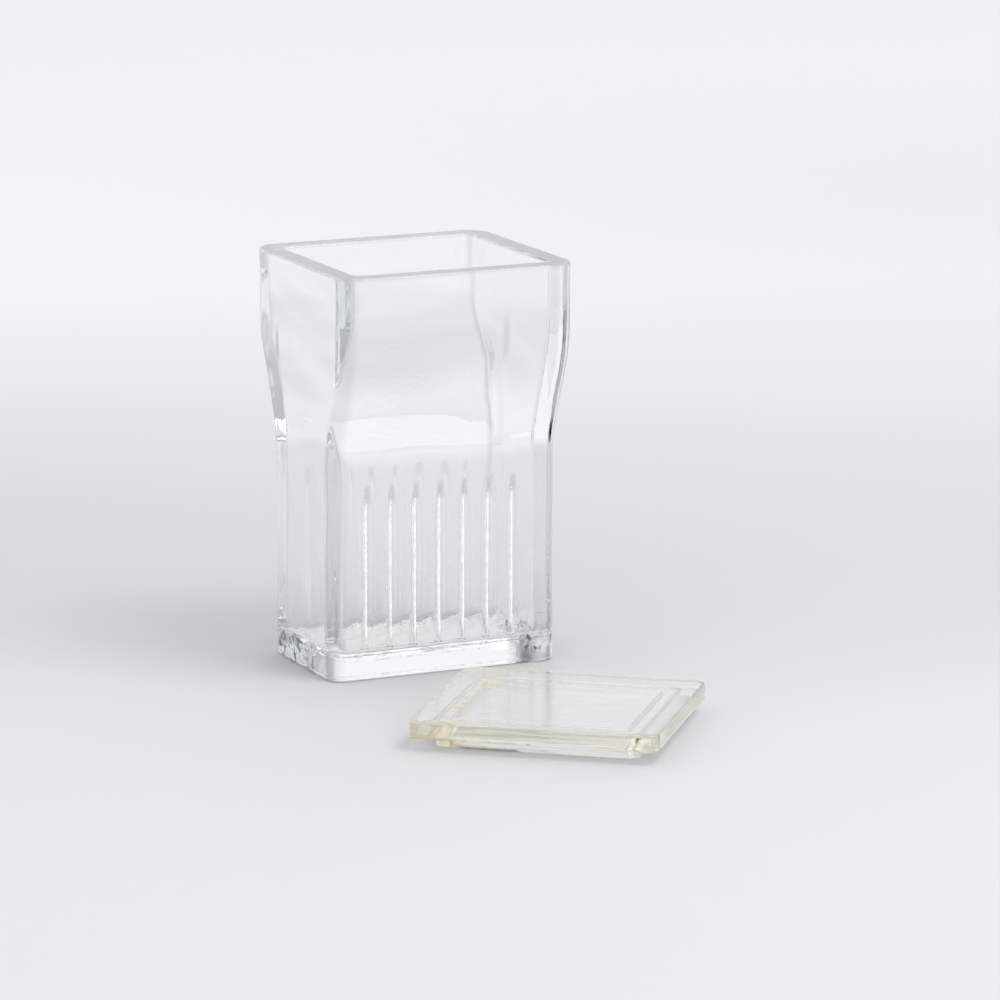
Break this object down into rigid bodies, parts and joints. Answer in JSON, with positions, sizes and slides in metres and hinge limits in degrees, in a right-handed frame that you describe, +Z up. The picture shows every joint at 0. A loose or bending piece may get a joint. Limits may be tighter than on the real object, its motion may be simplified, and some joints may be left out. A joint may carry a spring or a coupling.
{
  "type": "slide staining jar",
  "caption": "Upright rectangular glass staining jar with ribbed slide slots inside, a widened top with a flat ground rim, and a loose square glass lid lying beside it.",
  "frame": {"origin": "centre of the jar's underside, on the table", "axes": "+Z up, +X along the ribbed walls, -Y towards the side where the lid lies"},
  "size_m": [0.0766, 0.1455, 0.098],
  "materials": {
    "jar_glass": "clear pressed glass, gently wavy, with a matt ground rim",
    "lid_glass": "clear pressed glass with a faint yellow-green tint at the edges"
  },
  "bodies": {
    "root": {"jar": "jar_glass", "lid": "lid_glass"}
  },
  "joints": []
}
